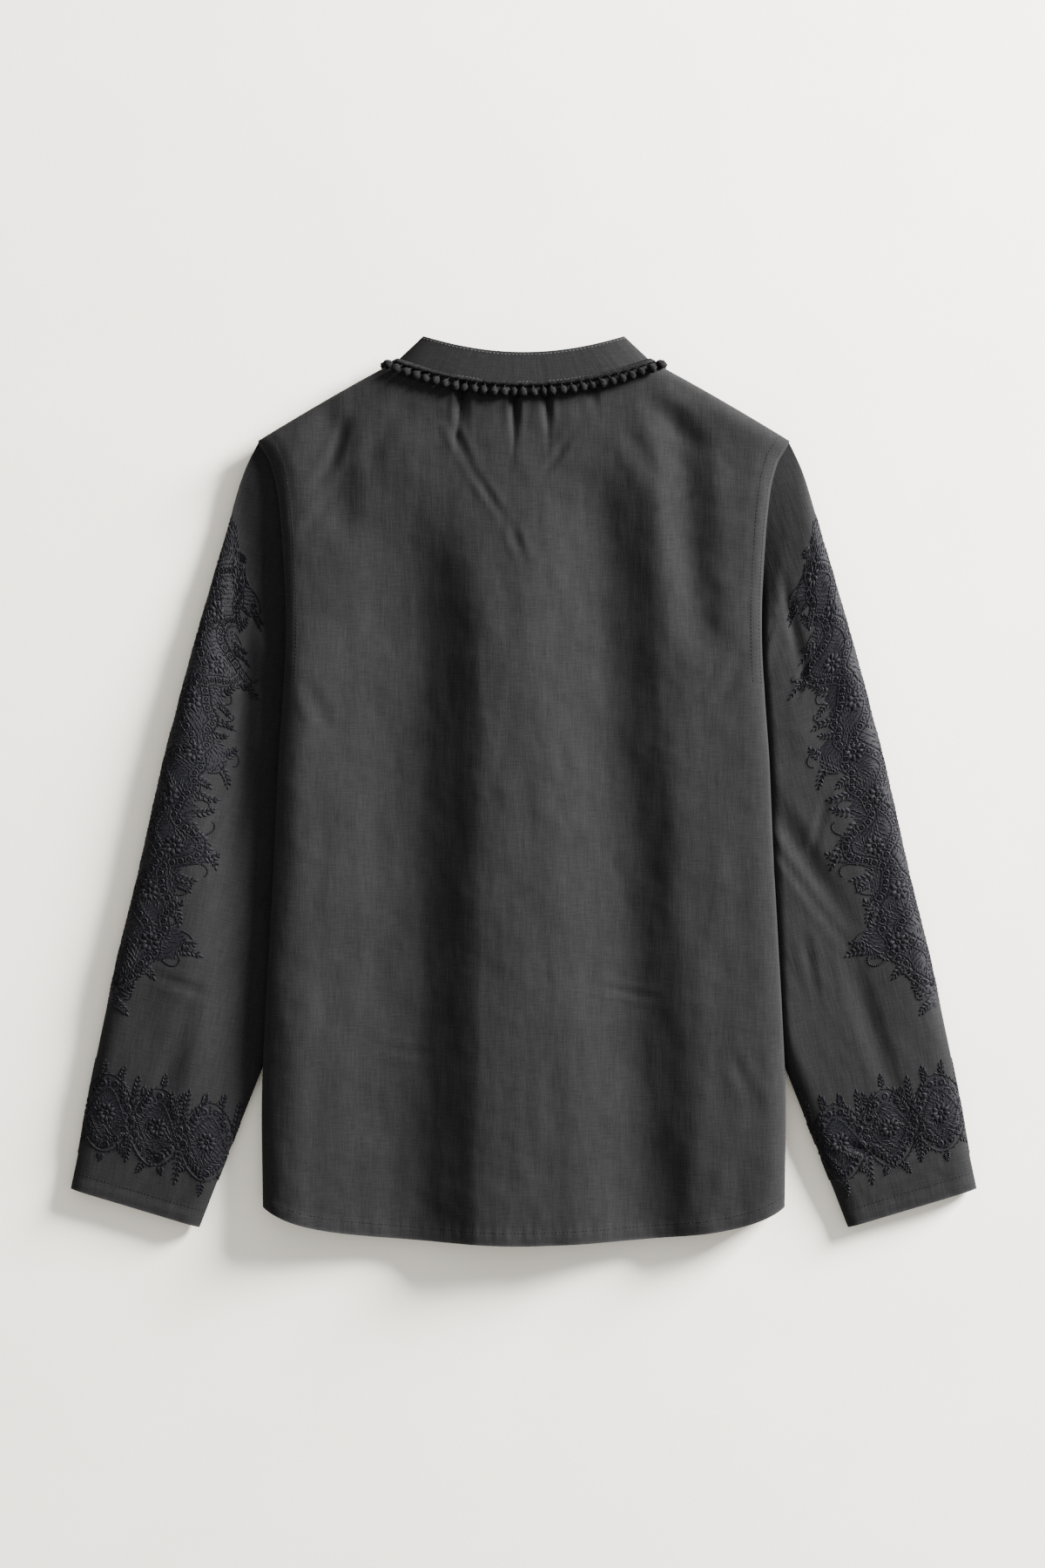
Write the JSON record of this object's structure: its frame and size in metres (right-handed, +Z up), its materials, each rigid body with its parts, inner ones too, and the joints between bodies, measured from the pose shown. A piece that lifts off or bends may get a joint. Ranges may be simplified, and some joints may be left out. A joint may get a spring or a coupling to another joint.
{
  "type": "embroidered shirt",
  "caption": "Dark linen long-sleeved shirt with a stand collar, pompom trim and embroidered sleeves, laid flat on its fronts with its back up.",
  "frame": {"origin": "middle of the laid shirt's bounding box, on the surface that it lies on", "axes": "+Z up from the surface, out of the shirt's back; +Y towards the collar; +X the wearer's right"},
  "size_m": [0.72, 0.7193, 0.0315],
  "materials": {
    "linen": "matte",
    "yarn": "matte",
    "button": "satin"
  },
  "bodies": {
    "root": {"back": "linen", "front_right": "linen", "front_left": "linen", "placket": "linen", "sleeve_right": "linen", "sleeve_left": "linen", "collar": "linen", "pompom_trim": "yarn", "button_1": "button", "button_2": "button", "button_3": "button", "button_4": "button", "button_5": "button", "button_6": "button", "button_7": "button"}
  },
  "joints": []
}
